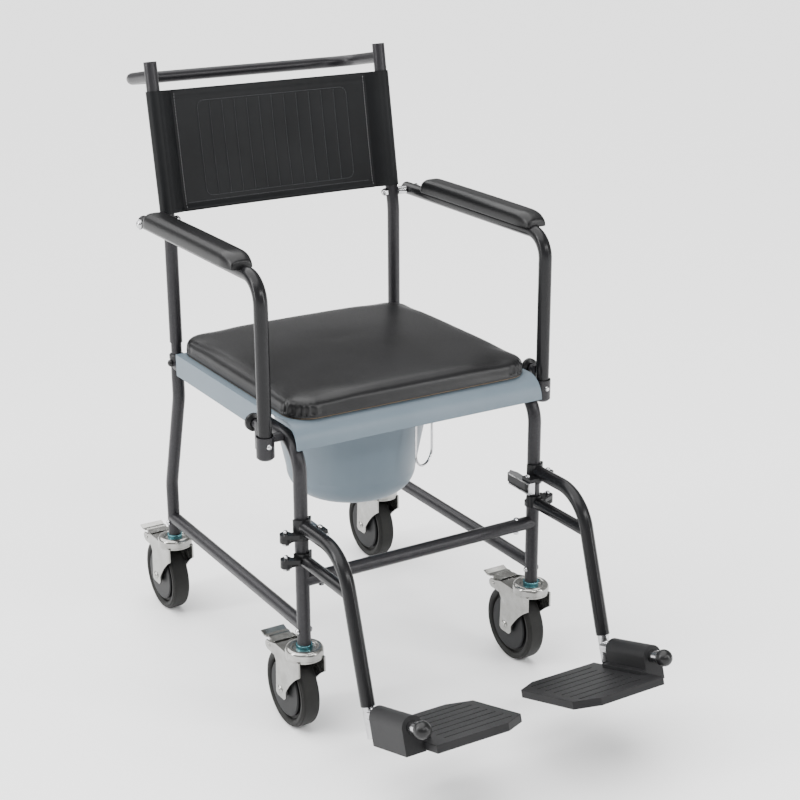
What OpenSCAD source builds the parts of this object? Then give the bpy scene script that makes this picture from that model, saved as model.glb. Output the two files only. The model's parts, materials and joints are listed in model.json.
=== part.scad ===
// Wheeled commode chair: steel tube frame on four braked swivel castors, swing-up
// arms, swing-away height-adjustable footrests, lift-off seat cushion and a bucket
// that slides out to the rear. Millimetres, +Z up, the sitter faces -Y.
// "right" and "left" are the sitter's: right is -X, left is +X.

/* [Frame] */
// Outer diameter of the frame tubes
tube_d = 21; // [19:0.5:25.4]
// Wall of the frame tubes
wall = 1.5; // [1:0.1:2.5]
// Half spacing of the side frames, tube axis to centre plane
side_x = 208.5; // [190:0.5:240]
// Front leg axis, front to back
front_y = -232; // [-260:1:-200]
// Rear leg axis at the floor end
rear_y = 247; // [220:1:280]
// Height of the open lower end of the legs
leg_z0 = 154; // [145:1:170]
// Height of the seat rail axis
rail_z = 476; // [460:1:490]
// Height of the lower side rails
low_z = 184; // [170:1:220]
// Height of the front cross bar
bar_z = 258; // [240:1:280]

/* [Back] */
// Lean of the upper back posts
lean = 9.9264; // [8:0.0001:12]
// Height at which the posts start to lean
lean_z = 690; // [670:1:720]
// Height of the post tops
post_z = 964; // [900:1:1000]
// Reach of the push handle behind the posts
handle_reach = 118.5; // [100:0.5:150]
// Diameter of the push handle tube
handle_d = 19; // [15:0.5:22]
// Height of the backrest sling, along the posts
sling_h = 194; // [150:1:300]
// Depth the sling hangs back between the posts
sling_sag = 18; // [5:1:40]

/* [Seat] */
// Top of the plastic seat deck
deck_z = 503; // [480:1:520]
// Bucket centre, front to back
bucket_y = -11; // [-30:1:20]
// Underside of the bucket floor
bucket_z0 = 288; // [270:1:320]
// Top of the bucket rim
bucket_z1 = 460; // [440:1:480]

/* [Arms] */
// Half spacing of the arms
arm_x = 246; // [240:0.5:260]
// Height of the arm tube axis and its pivot
arm_z = 717; // [700:1:740]
// Front leg of the arm, front to back
arm_y = -198; // [-210:1:-170]
// Offset of the arm pads outwards from the arm tubes
pad_off = 5; // [3:0.5:8]
// Front end of the right arm pad
pad_r = -154; // [-175:1:-150]
// Front end of the left arm pad, screwed on a little further forward
pad_l = -168; // [-175:1:-150]

/* [Footrests] */
// Height of the upper hanger tube
hang_z = 348; // [330:1:370]
// Lean of the hanger and tilt of the footplate
tilt = 17.5732; // [15:0.0001:20]
// Lower reach of the footplates: the right one sits a little higher
drop_r = -6.5; // [-8:0.5:60]
// Lower reach of the left footplate
drop_l = 0.5; // [-8:0.5:60]

/* [Castors] */
// Wheel diameter
wheel_d = 125; // [100:1:150]
// Wheel trail behind the swivel axis
trail = 41; // [30:1:50]

/* [Hidden] */
ro = tube_d / 2;
ri = ro - wall;
shift_y = 110.8;                 // centres the bounding box on the origin
// Bend angles and radii are picked so that the joints of the tubes land on round numbers.
s_bend = 16.0398;                // S-bend of the rear legs
s_r = 58.907;
s_run = 161;
lean_r = 105.33;                 // bend of the back posts
knee_r = 69.958;                 // bend of the hangers
function near(v) = round(v * 100) / 100;
post_y = near(rear_y - 2 * s_r * (1 - cos(s_bend)) - s_run * sin(s_bend));
leg_top = rail_z + 11.5;
piv_y = post_y + (arm_z - lean_z) * tan(lean);
hand_z = 942;                    // where the push handle meets the posts
hand_y = post_y + (hand_z - lean_z) * tan(lean);
pin_x = 27;                      // hanger hinge pin, outboard of the leg
pin_y = -2;
lug_z = [294, 334];              // tops of the two frame lugs
hook_y = front_y - 125.5;        // corner of the hanger's centre line
ft = 207;                        // footplate hinge axis, half spacing
lever_x = -22;                   // latch lever, inboard of the leg
lever_y = -16;
big = 64;                        // facets of large round parts

steel_c = [0.22, 0.22, 0.24];
zinc_c = [0.78, 0.78, 0.76];
grey_c = [0.48, 0.53, 0.57];
black_c = [0.08, 0.08, 0.09];

// ---------- helpers ----------

// Everything is drawn about the seat's middle, then moved so the box is centred.
module placed() translate([0, shift_y, 0]) children();

// The -X copy of a part drawn on the +X side.
module flip(on) { if (on) mirror([1, 0, 0]) children(); else children(); }

// Both side copies in one node.
module pair() { children(); mirror([1, 0, 0]) children(); }

// Solid bar along a path that starts up +Z. Each leg of the path is [length] or
// [length, bend radius, bend angle, direction of the bend].
module run(r, path, e0, e1, i = 0) {
  leg = path[i];
  last = i == len(path) - 1;
  low = i == 0 ? -e0 : 0;
  translate([0, 0, low]) cylinder(h = leg[0] - low + (last ? e1 : 0), r = r, $fn = big);
  if (!last) translate([0, 0, leg[0]]) rotate([0, 0, leg[3]]) {
    translate([leg[1], 0, 0]) rotate([90, 0, 180])
      rotate_extrude(angle = leg[2], $fn = big) translate([leg[1], 0]) circle(r = r, $fn = big);
    translate([leg[1] * (1 - cos(leg[2])), 0, leg[1] * sin(leg[2])])
      rotate([0, leg[2], 0]) rotate([0, 0, -leg[3]]) run(r, path, 0, e1, i + 1);
  }
}

// Tube along a path; a cap closes an end with that thickness.
module pipe(r1, r2, path, cap0 = -1, cap1 = -1) difference() {
  run(r1, path, 0, 0);
  if (r2 > 0) run(r2, path, -cap0, -cap1);
}

module rod(h, r, f = 48) cylinder(h = h, r = r, $fn = f);
module rod_x(x0, x1, r, f = 48) translate([x0, 0, 0]) rotate([0, 90, 0]) rod(x1 - x0, r, f);
module rod_y(y0, y1, r, f = 48) translate([0, y0, 0]) rotate([-90, 0, 0]) rod(y1 - y0, r, f);
module block(lo, hi) translate(lo) cube(hi - lo);

// Domed head, base on z = 0.
module dome_head(r, h)
  rotate_extrude($fn = 32) intersection() {
    translate([0, h - (r * r + h * h) / (2 * h)]) circle(r = (r * r + h * h) / (2 * h), $fn = 96);
    square([r, h]);
  }

// Frame that leans with the upper back posts, origin between them where the handle joins.
module leaned() translate([0, hand_y, hand_z]) rotate([-lean, 0, 0]) children();

// ---------- frame ----------

module side_tube() difference() {
  translate([side_x, front_y, leg_z0])
    pipe(ro, ri, [[rail_z - 50 - leg_z0, 50, 90, 90], [post_y - front_y - 50]]);
  translate([side_x, post_y, 400]) rod(100, ro, big);
  translate([0, front_y, 175.5]) rod_x(side_x - 20, side_x + 20, 2.6);
}
module right_side_tube() color(steel_c) placed() flip(true) side_tube();
module left_side_tube() color(steel_c) placed() side_tube();

// Rear legs: plumb, set forward through an S-bend, plumb again under the back post.
module rear_legs() color(steel_c) placed() pair() difference() {
  translate([side_x, rear_y, leg_z0])
    pipe(ro, ri, [[240 - leg_z0, s_r, s_bend, -90], [s_run, s_r, s_bend, 90],
      [near(leg_top - 240 - 2 * s_r * sin(s_bend) - s_run * cos(s_bend))]]);
  translate([0, rear_y, 175.5]) rod_x(side_x - 20, side_x + 20, 2.6);
  translate([0, post_y, 480]) rod_x(side_x - 20, side_x + 20, 3.1);
}

module lower_side_rails() color(steel_c) placed() pair() difference() {
  translate([side_x, 0, low_z]) difference() {
    rod_y(front_y, rear_y, ro, big);
    rod_y(front_y - 1, rear_y + 1, ri, big);
  }
  for (y = [front_y, rear_y]) translate([side_x, y, 100]) rod(200, ro, big);
}

module front_crossbar() color(steel_c) placed() translate([0, front_y, bar_z]) difference() {
  rod_x(-190, 190, ro, big);
  rod_x(-191, 191, ri, big);
  for (s = [-1, 1]) translate([s * 177, 0, -20]) rod(40, 2.6);
}

// Welded stubs whose spigots carry the cross bar.
module crossbar_sockets() color(steel_c) placed() pair() difference() {
  translate([0, front_y, bar_z]) {
    rod_x(190, side_x, ro, big);
    rod_x(160, 190, ri - 0.2, big);
  }
  translate([side_x, front_y, 200]) rod(120, ro, big);
  translate([177, front_y, bar_z - 20]) rod(40, 2.6);
}

module rear_crossbar() color(steel_c) placed() translate([0, 175, rail_z]) difference() {
  rod_x(-side_x, side_x, ro, big);
  rod_x(-side_x - 1, side_x + 1, ri, big);
  for (s = [-1, 1]) translate([s * side_x, 0, 0]) rod_y(-30, 30, ro, big);
}

// Back posts: a swaged neck plugs into the rear leg, the upper part leans back.
module back_posts() color(steel_c) placed() pair() difference() {
  translate([side_x, post_y, 0]) {
    translate([0, 0, 445]) pipe(ri - 0.2, ri - 1.7, [[70]]);
    translate([0, 0, 515]) pipe(ro, ri,
      [[near(lean_z - lean_r * tan(lean / 2) - 515), lean_r, lean, 90],
       [near((post_z - lean_z) / cos(lean) - lean_r * tan(lean / 2))]], 2, 2);
  }
  translate([0, post_y, 480]) rod_x(side_x - 20, side_x + 20, 3.1);
  translate([0, piv_y, arm_z]) rod_x(side_x - 20, side_x + 20, 4.1);
}

module post_collars() color(black_c) placed() pair()
  translate([side_x, post_y, leg_top]) rotate_extrude($fn = big)
    polygon([[ri, 0], [12.5, 0], [12.5, 5.5], [11, 7.5], [ri, 7.5]]);

module post_lock_bolts() color(black_c) placed() pair()
  translate([side_x, post_y, 480]) {
    rod_x(-14, ro + 0.6, 3);
    translate([ro + 0.6, 0, 0]) rotate([0, 90, 0]) dome_head(6.5, 5.5);
    translate([-14, 0, 0]) rotate([0, 90, 0]) rod(3, 5.5, 6);
  }

module push_handle() color(steel_c) placed() leaned() difference() {
  translate([-side_x, 0, 0]) rotate([-90, 0, 0])
    pipe(handle_d / 2, handle_d / 2 - 1.5, [[handle_reach - 45, 45, 90, 0],
      [2 * side_x - 90, 45, 90, 0], [handle_reach - 45]]);
  for (s = [-1, 1]) translate([s * side_x, 0, -40]) rod(80, ro, big);
}

// Vinyl sling: sleeves over the posts and a sheet that hangs back between them.
module backrest_sling() color(black_c) placed() leaned() {
  arc = (pow(side_x, 2) + pow(sling_sag, 2)) / (2 * sling_sag);
  translate([0, 0, -23.4 - sling_h]) difference() {
    union() {
      for (s = [-1, 1]) translate([s * side_x, 0, 0]) rod(sling_h, ro + 1.8, big);
      intersection() {
        translate([0, sling_sag - arc, 0]) difference() {
          cylinder(h = sling_h, r = arc + 1.5, $fn = 200);
          translate([0, 0, -1]) cylinder(h = sling_h + 2, r = arc - 1.5, $fn = 200);
        }
        block([-side_x, -20, 0], [side_x, 40, sling_h]);
      }
    }
    for (s = [-1, 1]) translate([s * side_x, 0, -1]) rod(sling_h + 2, ro + 0.1, big);
  }
}

// ---------- seat ----------

module apron_profile() {
  intersection() {
    difference() { circle(r = 36, $fn = 96); circle(r = 32, $fn = 96); }
    translate([-40, 0]) square([40, 40]);
  }
}

// Moulded deck: panel with a round aperture and splash collar, rolled front, side
// flanges over the rails, ribs that sit on them.
module seat_deck() color(grey_c) placed() difference() {
  union() {
    difference() {
      block([-215, -205, deck_z - 4], [215, 170, deck_z]);
      translate([0, bucket_y, deck_z - 10]) rod(20, 104, 128);
    }
    translate([0, bucket_y, deck_z - 19]) difference() {
      rod(15, 107.5, 128);
      translate([0, 0, -1]) rod(17, 104, 128);
    }
    translate([-215, -205, deck_z - 36]) rotate([90, 0, 90])
      linear_extrude(height = 430) apron_profile();
    block([-215, 166, deck_z - 14], [215, 170, deck_z - 4]);
    for (s = [0, 1]) mirror([s, 0, 0]) {
      block([215, -150, deck_z - 4], [222.3, 170, deck_z]);
      block([219.3, -150, deck_z - 36.5], [222.3, 170, deck_z - 4]);
      for (y = [-120, 0, 120]) block([199, y - 3, rail_z], [218, y + 3, deck_z - 4]);
    }
  }
  for (s = [-1, 1]) translate([s * side_x, 0, rail_z]) rod_y(-180, 190, ro, big);
}

// Channels under the deck that the bucket's rim rides in.
module bucket_guides() color(steel_c) placed() pair()
  translate([0, 158, 0]) rotate([90, 0, 0]) linear_extrude(height = 308)
    polygon([[138, 453], [150.5, 453], [150.5, 496.5], [162, 496.5], [162, 499],
      [148, 499], [148, 455.5], [138, 455.5]]);

function wall_r(z) = 138.3 - 0.2 * (490 - z);

module bowl(z0, z1, inset, rc) {
  // side wall, rolled lower corner and flat floor, as one turned profile
  r1 = wall_r(z1) - inset;
  r0 = wall_r(z0 + rc) - inset;
  translate([0, bucket_y, 0]) rotate_extrude($fn = 128) {
    polygon([[0, z0 + rc], [r0, z0 + rc], [r1, z1], [0, z1]]);
    translate([r0 - rc, z0 + rc]) intersection() {
      circle(r = rc, $fn = 96);
      translate([0, -rc]) square([rc, rc]);
    }
    translate([0, z0]) square([r0 - rc, rc]);
  }
}

module at_bail() translate([0, bucket_y, 448]) rotate([0, 0, -65]) children();

module bucket() color(grey_c) placed() difference() {
  union() {
    bowl(bucket_z0, bucket_z1, 0, 41);
    translate([0, bucket_y, bucket_z1 - 4]) rod(4, 146, 128);
    at_bail() for (s = [-1, 1]) block([120, s * 15.5 - 4, -5], [147.5, s * 15.5 + 4, 5]);
  }
  bowl(bucket_z0 + 2.5, bucket_z1 + 1, 2.5, 38.5);
  at_bail() translate([143, 0, 0]) rod_y(-30, 30, 2);
}

module bucket_handle() color(zinc_c) placed() at_bail() translate([143, 0, 0]) {
  translate([0, -23, 2]) mirror([0, 0, 1]) run(2, [[71, 23, 180, 90], [71]], 0, 0);
  for (s = [0, 1]) mirror([0, s, 0]) rod_y(12.5, 23, 1.95);
}

module rounded_plan(x, y0, y1, r, h) linear_extrude(height = h) {
  translate([-x, y0 + r]) square([2 * x, y1 - y0 - 2 * r]);
  translate([-x + r, y0]) square([2 * x - 2 * r, y1 - y0]);
  for (i = [-1, 1]) for (y = [y0 + r, y1 - r]) translate([i * (x - r), y]) circle(r = r, $fn = 64);
}

// Upholstered pad: crowned top over a thin board.
module seat_cushion() color(black_c) placed() intersection() {
  translate([0, 0, deck_z + 4.6]) rounded_plan(211, -223, 187, 42, 45);
  translate([0, -18, deck_z + 44.5 - 1280]) sphere(r = 1280, $fn = 300);
}

module cushion_board() color([0.45, 0.36, 0.24]) placed()
  translate([0, 0, deck_z + 0.4]) rounded_plan(209, -221, 185, 40, 4);

// ---------- arms ----------

module arm_tube() difference() {
  translate([arm_x, piv_y + 14, arm_z]) rotate([90, 0, 0])
    pipe(ro, ri, [[piv_y + 14 - arm_y - 38, 38, 90, -90], [arm_z - 38 - 481]], 2);
  translate([0, piv_y, arm_z]) rod_x(arm_x - 20, arm_x + 20, 4.05);
}
module right_arm_tube() color(black_c) placed() flip(true) arm_tube();
module left_arm_tube() color(black_c) placed() arm_tube();

module pad_section() {
  translate([-22, 0]) square([44, 13]);
  translate([-12, 0]) square([24, 23]);
  for (s = [-1, 1]) translate([s * 12, 13]) circle(r = 10, $fn = 64);
}

module arm_pad(y0) difference() {
  translate([arm_x + pad_off, 0, 723.5]) intersection() {
    translate([0, y0 + 317, 0]) rotate([90, 0, 0]) linear_extrude(height = 317) pad_section();
    translate([0, 0, -5]) rounded_plan(22, y0, y0 + 317, 13, 50);
  }
  translate([arm_x, 0, arm_z]) rod_y(-230, 190, ro + 0.1, big);
}
module right_arm_pad() color(black_c) placed() flip(true) arm_pad(pad_r);
module left_arm_pad() color(black_c) placed() arm_pad(pad_l);

// Bolt through the post: domed nut inside, head outside the arm.
module arm_pivot_bolts() color(zinc_c) placed() pair() translate([0, piv_y, arm_z]) {
  rod_x(side_x - ro - 2, arm_x + ro + 2, 4);
  translate([arm_x + ro + 0.6, 0, 0]) rotate([0, 90, 0]) { rod(2, 8.5); translate([0, 0, 2]) dome_head(7, 5); }
  translate([side_x - ro - 0.4, 0, 0]) rotate([0, -90, 0]) { rod(5, 7, 6); translate([0, 0, 5]) dome_head(6, 5); }
}

module arm_pivot_spacers() color(zinc_c) placed() pair() translate([0, piv_y, arm_z]) difference() {
  rod_x(side_x + ro + 0.1, arm_x - ro - 0.6, 7);
  rod_x(side_x, arm_x, 4.1);
}

// Cups that take the lower end of the arms, welded to the seat rail by a stub, with
// a rear tongue and barrel for the lock plunger.
module arm_sockets() color(steel_c) placed() pair() difference() {
  union() {
    translate([arm_x, arm_y, 448]) rotate_extrude($fn = big)
      polygon([[0, 0], [10.5, 0], [13.5, 3], [13.5, 35], [0, 35]]);
    translate([0, arm_y, 478]) rod_x(side_x + ro + 0.1, arm_x, 7);
    block([arm_x - 8, arm_y + 9, 460], [arm_x + 8, arm_y + 17, 503]);
    translate([arm_x, 0, 494]) rod_y(arm_y + 16, arm_y + 28, 7);
  }
  translate([arm_x, arm_y, 452]) rod(60, 12, big);
  translate([arm_x, 0, 494]) rod_y(arm_y, arm_y + 40, 3.08);
  translate([arm_x, 0, 470]) rod_y(arm_y - 30, arm_y, 2.6);
}

// Sprung plunger with a mushroom knob, pulled to the rear to free the arm.
module arm_lock() translate([arm_x, arm_y + 11, 494]) rotate([-90, 0, 0]) {
  rod(21, 3);
  translate([0, 0, 20]) rotate_extrude($fn = big)
    polygon([[0, 0], [8, 0], [13.5, 2.5], [13.5, 7.5], [11.5, 11], [7, 13.5], [0, 14]]);
}
module right_arm_lock() color(black_c) placed() flip(true) arm_lock();
module left_arm_lock() color(black_c) placed() arm_lock();

// ---------- fasteners of the frame ----------

module frame_bolts() color(zinc_c) placed() pair() {
  // castor stem cross bolts
  for (y = [front_y, rear_y]) translate([side_x, y, 175.5]) {
    rod_x(-12.6, 12, 2.5);
    translate([10.7, 0, 0]) rotate([0, 90, 0]) dome_head(5, 3.6);
    translate([-10.7, 0, 0]) rotate([0, -90, 0]) dome_head(4.8, 3.6);
  }
  // cross bar bolts
  translate([177, front_y, bar_z]) {
    translate([0, 0, -13]) rod(26, 2.5);
    translate([0, 0, 10.6]) dome_head(5, 3.4);
    translate([0, 0, -14.4]) rod(3.8, 4.5, 6);
  }
  // arm socket screws
  translate([arm_x, arm_y, 470]) {
    rod_y(-16, -12.5, 2.5);
    translate([0, -13.7, 0]) rotate([90, 0, 0]) dome_head(4.2, 2.8);
  }
}

// ---------- footrest hangers ----------

module at_leg(z = 0) translate([side_x, front_y, z]) children();

module hanger_lugs() color(black_c) placed() pair() at_leg() {
  for (z = lug_z) translate([0, 0, z - 7]) difference() {
    linear_extrude(height = 7) difference() {
      union() {
        circle(r = 13.5, $fn = big);
        translate([pin_x, pin_y]) circle(r = 9, $fn = 48);
        translate([0, -8]) square([pin_x, 12]);
      }
      circle(r = ro, $fn = big);
    }
    translate([pin_x, pin_y, -1]) rod(9, 3.6);
  }
}

module hanger_pins() color(zinc_c) placed() pair() at_leg()
  for (z = lug_z) translate([pin_x, pin_y, z]) {
    translate([0, 0, -11]) rod(21.5, 3.5);
    translate([0, 0, 10.5]) dome_head(3.5, 2);
    translate([0, 0, -11.2]) rod(4, 5.8, 6);
  }

// Front saddle and ear that hangs on one pin.
module ear(h) {
  linear_extrude(height = 6) {
    translate([pin_x, pin_y]) circle(r = 9, $fn = 48);
    polygon([[30, -10.5], [12, -18], [-2, -15], [0, -8], [18, -2], [22, 3]]);
  }
  linear_extrude(height = h) intersection() {
    circle(r = 15, $fn = big);
    translate([-15, -15]) square([30, 13]);
  }
}

// Points of the hanger's centre line: knee below the bend, end of the tube.
bend_t = near(knee_r * tan((90 - tilt) / 2));
tube_end = 217.6;                // corner to open lower end, along the slope

module hang_frame() translate([0, hook_y - front_y, hang_z]) rotate([-tilt, 0, 0]) children();

module slope_bore(r, top) hang_frame() translate([0, 0, -tube_end - 1]) rod(tube_end + 1 + top, r, big);

module hanger() at_leg() difference() {
  union() {
    translate([0, -13, hang_z]) rotate([90, 0, 0])
      pipe(ro, ri, [[front_y - 13 - hook_y - bend_t, knee_r, 90 - tilt, -90],
        [tube_end - bend_t]]);
    difference() {
      union() {
        translate([0, -14, 294]) rotate([90, 0, 0]) pipe(9.5, 8, [[128]]);
        translate([0, 0, lug_z[0] + 0.3]) ear(12);
        translate([0, 0, lug_z[1] + 0.3]) ear(26);
        block([lever_x - 6, -31, 339.7], [-8, -9, 345.7]);
      }
      slope_bore(ri + 0.7, 10);
      translate([0, -14, hang_z]) rotate([90, 0, 0]) rod(60, ri + 0.7, big);
    }
  }
  rod(400, ro + 0.5, big);
  for (z = lug_z) translate([pin_x, pin_y, z - 1]) rod(9, 3.55);
  translate([lever_x, lever_y, 330]) rod(20, 2.6);
}
module right_hanger() color(black_c) placed() flip(true) hanger();
module left_hanger() color(black_c) placed() hanger();

// Bright U bracket under the hanger's tab, held by the lever's pivot bolt.
module latch_bracket() at_leg() {
  block([lever_x - 8, -31, 320.5], [lever_x + 3, -28, 339.5]);
  for (z = [320.5, 337]) translate([0, 0, z]) linear_extrude(height = 2.5)
    polygon([[lever_x - 8, -31], [lever_x + 3, -31], [lever_x + 6, 20], [lever_x + 2, 36],
      [lever_x - 8, 26]]);
  translate([lever_x, lever_y, 318]) rod(28, 2.5);
  translate([lever_x, lever_y, 345.8]) dome_head(4.5, 3.5);
  translate([lever_x, lever_y, 316.5]) rod(4, 4.2, 6);
}
module right_latch_bracket() color(zinc_c) placed() flip(true) latch_bracket();
module left_latch_bracket() color(zinc_c) placed() latch_bracket();

module latch_lever() at_leg(323.4) difference() {
  linear_extrude(height = 13.2) {
    translate([lever_x, lever_y]) circle(r = 6.5, $fn = 48);
    translate([lever_x - 6.5, lever_y]) square([13, 45]);
    translate([lever_x, lever_y + 45]) circle(r = 6.5, $fn = 48);
  }
  translate([lever_x, lever_y, -1]) rod(16, 2.55);
}
module right_latch_lever() color(black_c) placed() flip(true) latch_lever();
module left_latch_lever() color(black_c) placed() latch_lever();

// ---------- footplates ----------

// Frame on the footplate hinge axis: +X outboard, +Y forward along the axis, +Z up
// from the plate. Drawn at height setting 0, then slid down the hanger by d.
ext_u = -119.5;                  // extension tube axis, behind the hinge block
foot_n = -236.5;                 // hinge axis below the hanger's corner, along the slope
module foot_frame(d) at_leg() hang_frame()
  translate([ft - side_x, ext_u, foot_n - d]) mirror([0, 1, 0]) children();

module footrest_tube(d) foot_frame(d) translate([side_x - ft, 0, 0]) difference() {
  union() {
    translate([0, ext_u, -34]) rod(150, 8.6, big);
    translate([ft - side_x, 0, 0]) rod_y(ext_u, 20, 9.5, big);
  }
  translate([0, ext_u, -36]) rod(160, 7.1, big);
  translate([ft - side_x, 0, 0]) rod_y(ext_u + 14, 18, 8, big);
}
module right_footrest_tube() color(zinc_c) placed() flip(true) footrest_tube(drop_r);
module left_footrest_tube() color(zinc_c) placed() footrest_tube(drop_l);

module ball_cap(d) foot_frame(d) translate([0, 27, 0]) rotate([-90, 0, 0])
  rotate_extrude($fn = big) intersection() {
    circle(r = 12.7, $fn = 96);
    translate([0, -6.9]) square([13, 20]);
  }
module right_ball_cap() color(black_c) placed() flip(true) ball_cap(drop_r);
module left_ball_cap() color(black_c) placed() ball_cap(drop_l);

plate = [[-13, 36], [-128, 38], [-163, 17], [-165, -112], [-130, -134], [-13, -134]];
pocket = [[-20, 32], [-126, 34], [-159, 15], [-161, -110], [-128, -130], [-20, -130]];

// Moulded plate with long grooves on top, hollow below, and its hinge block.
module footplate(d) foot_frame(d) difference() {
  union() {
    translate([0, 0, -35]) linear_extrude(height = 11.6) polygon(plate);
    rod_y(-94, 0, 16, big);
    block([-16, -94, -38], [16, 0, 0]);
    translate([0, 0, -23.4]) block([-26, -94, 0], [-14, 0, 6]);
  }
  difference() {
    translate([0, 0, -39]) linear_extrude(height = 11.6) polygon(pocket);
    for (u = [-90, -45, 0]) block([-165, u - 1.2, -40], [-18, u + 1.2, -20]);
    block([-19, -94, -40], [-12, 0, -20]);
  }
  block([-13, -91, -39], [13, -3, -19]);
  rod_y(-100, 5, 9.56, big);
  for (u = [-112 : 21 : 14]) translate([-38 + (u < -100 ? 4 : 0), u, -24.6])
    block([-112, -1.5, 0], [0, 1.5, 2]);
}
module right_footplate() color([0.2, 0.2, 0.21]) placed() flip(true) footplate(drop_r);
module left_footplate() color([0.2, 0.2, 0.21]) placed() footplate(drop_l);

// ---------- castors ----------

wheel_z = wheel_d / 2;
pedal_y = 74;
pedal_z = 124;
module at_castor(x, y) translate([x, y, 0]) children();
module each_castor() for (x = [-side_x, side_x]) for (y = [front_y, rear_y]) at_castor(x, y) children();

// Stem inside the leg with its shoulder collar and kingpin.
module castor_stems() color(zinc_c) placed() each_castor() difference() {
  union() {
    translate([0, 0, 146]) rod(8, 12.6, big);
    translate([0, 0, 153]) rod(61, ri - 0.2, big);
    translate([0, 0, 132]) rod(16, 6);
    translate([0, 0, 130.2]) rod(2.4, 8);
  }
  translate([0, 0, 175.5]) rod_x(-20, 20, 2.6);
}

// Raceway cap: a rolled rim round a shallow well.
module swivel_caps() color(zinc_c) placed() each_castor()
  translate([0, 0, 136.4]) rotate_extrude($fn = big) difference() {
    union() {
      square([29.5, 7.6]);
      square([23, 9.6]);
      translate([23, 7.6]) intersection() {
        circle(r = 6.5, $fn = 48);
        translate([-9, 0]) square([18, 9]);
      }
    }
    square([6.1, 20]);
  }

// Pressed fork: crown, two arms with a swept front edge and rear ears for the pedal,
// with the wheel axle and the pedal pin riveted through.
module fork_arm() rotate([90, 0, 90]) linear_extrude(height = 2.5) difference() {
  union() {
    difference() {
      polygon([[-24, 136], [-24, 95], [26, 52], [49, 50.5], [54, 55], [51.5, 107],
        [57, 115], [80, 115.5], [86, 119], [87, 125], [83, 130], [70, 131], [60, 134], [52, 136]]);
      translate([-103.8, -15.8]) circle(r = 150, $fn = 180);
    }
    polygon([[22, 65.9], [22, 56], [27.5, 50.5], [49, 50.5], [54, 55], [53, 70], [30, 70]]);
  }
  translate([trail, wheel_z]) circle(r = 5.1, $fn = 48);
  translate([pedal_y, pedal_z]) circle(r = 2.6, $fn = 32);
}
module fork() {
  difference() {
    union() {
      translate([0, 0, 133]) rod(3, 29, big);
      block([-23, 0, 133], [23, 52, 136]);
      for (x = [-23, 20.5]) translate([x, 0, 0]) fork_arm();
    }
    translate([0, 0, 125]) rod(20, 6.05);
  }
  translate([0, trail, wheel_z]) {
    rod_x(-26, 26, 5);
    for (s = [0, 1]) mirror([s, 0, 0]) translate([23.1, 0, 0]) rotate([0, 90, 0]) dome_head(7.5, 3.5);
  }
  translate([0, pedal_y, pedal_z]) {
    rod_x(-24, 24, 2.5);
    for (s = [0, 1]) mirror([s, 0, 0]) translate([23.1, 0, 0]) rotate([0, 90, 0]) dome_head(4, 2);
  }
}

module hub() translate([0, trail, wheel_z]) rotate([0, 90, 0]) rotate_extrude($fn = 96)
  polygon([[5.05, -17], [12, -17], [13, -15.5], [42.5, -15.5], [44.5, -14], [44.5, -9],
    [46, -9], [46, 9], [44.5, 9], [44.5, 14], [42.5, 15.5], [13, 15.5], [12, 17], [5.05, 17]]);

module tyre() translate([0, trail, wheel_z]) rotate([0, 90, 0]) rotate_extrude($fn = 128) difference() {
  union() {
    translate([46, -9]) square([wheel_d / 2 - 46, 18]);
    for (s = [-1, 1]) translate([wheel_d / 2 - 6.5, s * 9]) circle(r = 6.5, $fn = 48);
  }
  // moulded rings on the shoulders
  for (s = [-1, 1]) for (a = [28, 66])
    translate([wheel_d / 2 - 6.5 + 6.5 * cos(a), s * (9 + 6.5 * sin(a))]) circle(r = 0.7, $fn = 24);
}

// Brake pedal between the fork ears: tread, cheeks, barrel and a lobe over the tyre.
module brake() translate([0, pedal_y, pedal_z]) difference() {
  union() {
    rod_x(-17.8, 17.8, 4.5);
    translate([-18, 0, 0]) rotate([90, 0, 90]) linear_extrude(height = 36)
      polygon([[-8, 5], [-7, 4], [-6, 6.5], [10, 7], [13.6, 6.6], [13.6, 8.8], [11, 10.4], [9, 9], [-8, 8.5]]);
    translate([-20, 0, 0]) rotate([90, 0, 90]) linear_extrude(height = 40)
      polygon([[13.5, 6.6], [23, 5], [34, 8.5], [33.4, 10.4], [23, 7.2], [13.5, 8.8]]);
    translate([-12, 0, 0]) rotate([90, 0, 90]) linear_extrude(height = 24)
      polygon([[-3.5, -3], [1.2, -7.6], [3.5, -8.4], [5.5, -7.2], [4.5, 0], [0, 2]]);
    for (x = [-17.8, 15.8]) block([x, -5, 0], [x + 2, 9, 7.5]);
  }
  rod_x(-40, 40, 2.55);
}

module fork_front_right() color(zinc_c) placed() at_castor(-side_x, front_y) fork();
module fork_front_left() color(zinc_c) placed() at_castor(side_x, front_y) fork();
module fork_rear_right() color(zinc_c) placed() at_castor(-side_x, rear_y) fork();
module fork_rear_left() color(zinc_c) placed() at_castor(side_x, rear_y) fork();
module hub_front_right() color(black_c) placed() at_castor(-side_x, front_y) hub();
module hub_front_left() color(black_c) placed() at_castor(side_x, front_y) hub();
module hub_rear_right() color(black_c) placed() at_castor(-side_x, rear_y) hub();
module hub_rear_left() color(black_c) placed() at_castor(side_x, rear_y) hub();
module tyre_front_right() color(black_c) placed() at_castor(-side_x, front_y) tyre();
module tyre_front_left() color(black_c) placed() at_castor(side_x, front_y) tyre();
module tyre_rear_right() color(black_c) placed() at_castor(-side_x, rear_y) tyre();
module tyre_rear_left() color(black_c) placed() at_castor(side_x, rear_y) tyre();
module brake_front_right() color(zinc_c) placed() at_castor(-side_x, front_y) brake();
module brake_front_left() color(zinc_c) placed() at_castor(side_x, front_y) brake();
module brake_rear_right() color(zinc_c) placed() at_castor(-side_x, rear_y) brake();
module brake_rear_left() color(zinc_c) placed() at_castor(side_x, rear_y) brake();

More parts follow.
